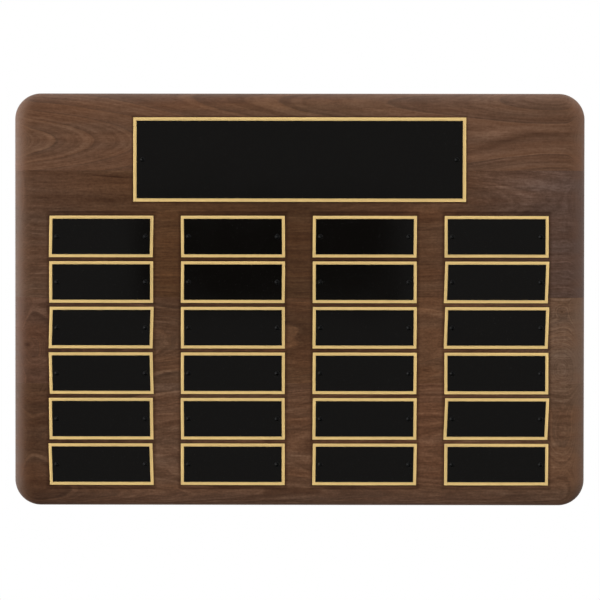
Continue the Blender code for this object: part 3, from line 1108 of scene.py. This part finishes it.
def round_head_screw():
    radius = 1.6 * MM
    height = 1.1 * MM
    shank = 0.75 * MM
    length = 7.5 * MM
    profile = dome(radius, height, 9)
    profile += [(radius, 0.12 * height), (0.94 * radius, 0), (shank, 0)]
    profile += [(shank, -0.78 * length), (0.4 * shank, -0.94 * length), (0, -length)]
    bm = turned(profile, 32)
    mesh = finished_mesh(bm, "plate screw")
    arms = [
        driver_blade(0.95 * MM, 0.42 * MM, 1.6 * MM, 0.35 * MM, angle)
        for angle in (0, math.pi / 2)
    ]
    mesh = carve(mesh, arms)
    smooth_mesh(mesh, 40)
    return mesh


BLACK_STEEL = blackened_steel()
plate_screw = round_head_screw()
print("plate screw:", len(plate_screw.polygons), "faces")

# %% [markdown]
# A hand stops each screw where it pulls tight, so no two crosses stand at the same angle. The
# same helper drives the black screws into the front and, later, the hanger screws into the
# back. The dice have a fixed seed, so every run turns the screws alike.

# %% Screw the plates down
dice = random.Random(24)


def drive(name, pattern, seat, into_front, material, node):
    """Copies a screw to its seat, the middle of its head's underside, turned at random."""
    mesh = pattern.copy()
    spin = Matrix.Rotation(dice.uniform(0, math.pi / 2), 4, "Z")
    face = Matrix.Rotation(math.pi / 2 if into_front else -math.pi / 2, 4, "X")
    mesh.transform(Matrix.Translation(seat) @ face @ spin)
    return add_piece(name, mesh, [material], node)


def drive_pair(plate, inset, names, nodes):
    """Screws a plate down at both ends."""
    made = []
    for (x, z), name, node in zip(screw_places(plate, inset), names, nodes):
        seat = (x, plate_face, z)
        made.append(drive(name, plate_screw, seat, True, BLACK_STEEL, node))
    return made


SIDES = ("left", "right")
screws = drive_pair(
    "header_plate",
    HEADER_SCREW_INSET,
    [f"header_screw_black_{side}" for side in SIDES],
    [f"header_screw_{side}" for side in SIDES],
)
for node in NAME_NODES:
    names = [f"{node.replace('name_plate', 'name_screw')}_{side}" for side in SIDES]
    screws += drive_pair(node, NAME_SCREW_INSET, names, (None, None))
print(len(screws), "plate screws")

# %% [markdown]
# Satin brass is only as bright as what it mirrors, and it mirrors a wide cone of what is in
# front of it. The lamps so far give no gloss, so that the wood keeps its depth. Four more
# panels, on all sides of the camera, do the opposite: light linking lets them shine only on
# the plates, and only as gloss. The lacquer is too smooth to pick them up at that angle, and
# stays black. The left one alone reaches the screws as well, and leaves a small crescent on
# each round head. A mirror ball of a screw lit from all four sides would look grey.

# %% Light the brass
METAL_PANEL_SIZE = 1.5
METAL_PANELS = {  # name: place, watts
    "metal panel above": ((0.0, -2.0, 1.6), 17.5),
    "metal panel below": ((0.0, -2.0, -1.6), 15.5),
    "metal panel left": ((-1.6, -2.0, 0.0), 16.5),
    "metal panel right": ((1.6, -2.0, 0.0), 16.5),
}
lit_plates = bpy.data.collections.new("lit plates")
lit_metal = bpy.data.collections.new("lit metal")
for made in plates:
    lit_plates.objects.link(made)
for made in plates + screws:
    lit_metal.objects.link(made)
for name, (place, power) in METAL_PANELS.items():
    panel = soft_panel(name, place, METAL_PANEL_SIZE, METAL_PANEL_SIZE, power)
    panel.visible_glossy = True
    panel.visible_diffuse = False
    beside = name == "metal panel left"
    panel.light_linking.receiver_collection = lit_metal if beside else lit_plates

# %% [markdown]
# ## Hangers
#
# Two stamped steel plates with keyholes sit flush in the back. A wall screw's head goes in
# at the round entry and the plaque drops until its shank meets the top of the slot. They
# are zinc plated, so their faces show the soft grey mottle of plating and fine scuffs.

# %% Make the hangers
def zinc_plating():
    made, tree, shader = new_material("zinc plating")
    place = add_node(tree, "TexCoord").outputs["Object"]
    mottle = noise(tree, scaled(tree, place, (260, 260, 260)), 3.0)
    scuff = noise(tree, scaled(tree, place, (3000, 300, 200)), 3.0, 0.7)
    tint = blend_colours(
        tree, between(tree, mottle, 0.3, 0.7), (0.50, 0.51, 0.52, 1), (0.66, 0.66, 0.65, 1)
    )
    tree.links.new(tint, shader.inputs["Base Color"])
    shader.inputs["Metallic"].default_value = 1.0
    rough = between(tree, mottle, 0.3, 0.7, 0.26, 0.36)
    rough = maths(tree, "ADD", rough, maths(tree, "MULTIPLY", scuff, 0.1))
    tree.links.new(rough, shader.inputs["Roughness"])
    bump = add_node(tree, "Bump", {"Height": scuff, "Strength": 0.2, "Distance": 0.01 * MM})
    tree.links.new(bump.outputs["Normal"], shader.inputs["Normal"])
    return made


ZINC = zinc_plating()
ENTRY_RADIUS = 4.5 * MM
ENTRY_DROP = 4.0 * MM  # below the middle of the plate
SLOT_HALF = 2.3 * MM
SLOT_TOP = 8.5 * MM
SLOT_CORNER = 2.2 * MM
HANGER_SCREW_RISE = 15.5 * MM
SINK_RADIUS = 2.85 * MM  # of the countersink at the plate's face
SINK_BOTTOM = 1.3 * MM  # its radius a sink's depth further in
SINK_DEPTH = 1.3 * MM
SINK_ABOVE = 1.0 * MM  # how far the cone runs past the face
SINK_BELOW = 2.2 * MM


def keyhole_cutters(middle):
    entry = bmesh.new()
    place = Matrix.Translation(middle + Vector((0, 0, -ENTRY_DROP)))
    bmesh.ops.create_cone(
        entry,
        cap_ends=True,
        segments=48,
        radius1=ENTRY_RADIUS,
        radius2=ENTRY_RADIUS,
        depth=5 * MM,
        matrix=place @ Matrix.Rotation(math.pi / 2, 4, "X"),
    )
    low = middle + Vector((-SLOT_HALF, -3 * MM, -ENTRY_DROP))
    high = middle + Vector((SLOT_HALF, 3 * MM, SLOT_TOP))
    return [entry, rounded_block(low, high, SLOT_CORNER, 10)]


def countersink(middle, back, rise):
    """A cone that keeps its slope past both faces of the plate."""
    bm = bmesh.new()
    slope = (SINK_RADIUS - SINK_BOTTOM) / SINK_DEPTH
    place = Matrix.Translation((middle.x, back, middle.z + rise))
    place = place @ Matrix.Rotation(-math.pi / 2, 4, "X")
    bmesh.ops.create_cone(
        bm,
        cap_ends=True,
        segments=36,
        radius1=max(SINK_RADIUS - slope * SINK_BELOW, 0.2 * MM),
        radius2=SINK_RADIUS + slope * SINK_ABOVE,
        depth=SINK_ABOVE + SINK_BELOW,
        matrix=place @ Matrix.Translation((0, 0, (SINK_ABOVE - SINK_BELOW) / 2)),
    )
    return bm


def hanger_mesh(node):
    low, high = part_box(node)
    middle = (low + high) / 2
    bm = rounded_block(low, high, HANGER_CORNER, 10)
    rim = [e for e in bm.edges if at_depth(e, high.y)]
    rounded(bm, rim, 0.2 * MM, 3)
    mesh = finished_mesh(bm, node)
    rises = (HANGER_SCREW_RISE, -HANGER_SCREW_RISE)
    cuts = keyhole_cutters(middle) + [countersink(middle, high.y, rise) for rise in rises]
    mesh = carve(mesh, cuts)
    smooth_mesh(mesh)
    return mesh


def countersunk_screw():
    radius = 2.6 * MM
    shank = 1.2 * MM
    length = 11.5 * MM
    profile = [(0, 0), (0.94 * radius, 0), (radius, -0.1 * MM), (shank, -1.35 * MM)]
    profile += [(shank, -0.78 * length), (0.4 * shank, -0.94 * length), (0, -length)]
    mesh = finished_mesh(turned(profile, 40), "hanger screw")
    arms = [
        driver_blade(1.5 * MM, 0.62 * MM, 0.5 * MM, -0.9 * MM, angle) for angle in (0, math.pi / 2)
    ]
    mesh = carve(mesh, arms)
    smooth_mesh(mesh, 40)
    return mesh


hanger_screw = countersunk_screw()
for node in HANGERS:
    name = node.replace("hanger_plate", "keyhole_hanger")
    add_piece(name, hanger_mesh(node), [ZINC], node)
hanger_screw_nodes = sorted(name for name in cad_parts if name.startswith("hanger_screw_"))
for node in hanger_screw_nodes:
    low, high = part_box(node)
    seat = (low + high) / 2
    seat.y = high.y - 0.02 * MM
    name = node.replace("hanger_screw", "hanger_woodscrew")
    drive(name, hanger_screw, seat, False, ZINC, node)
print(len(HANGERS), "hangers and", len(hanger_screw_nodes), "screws in them")
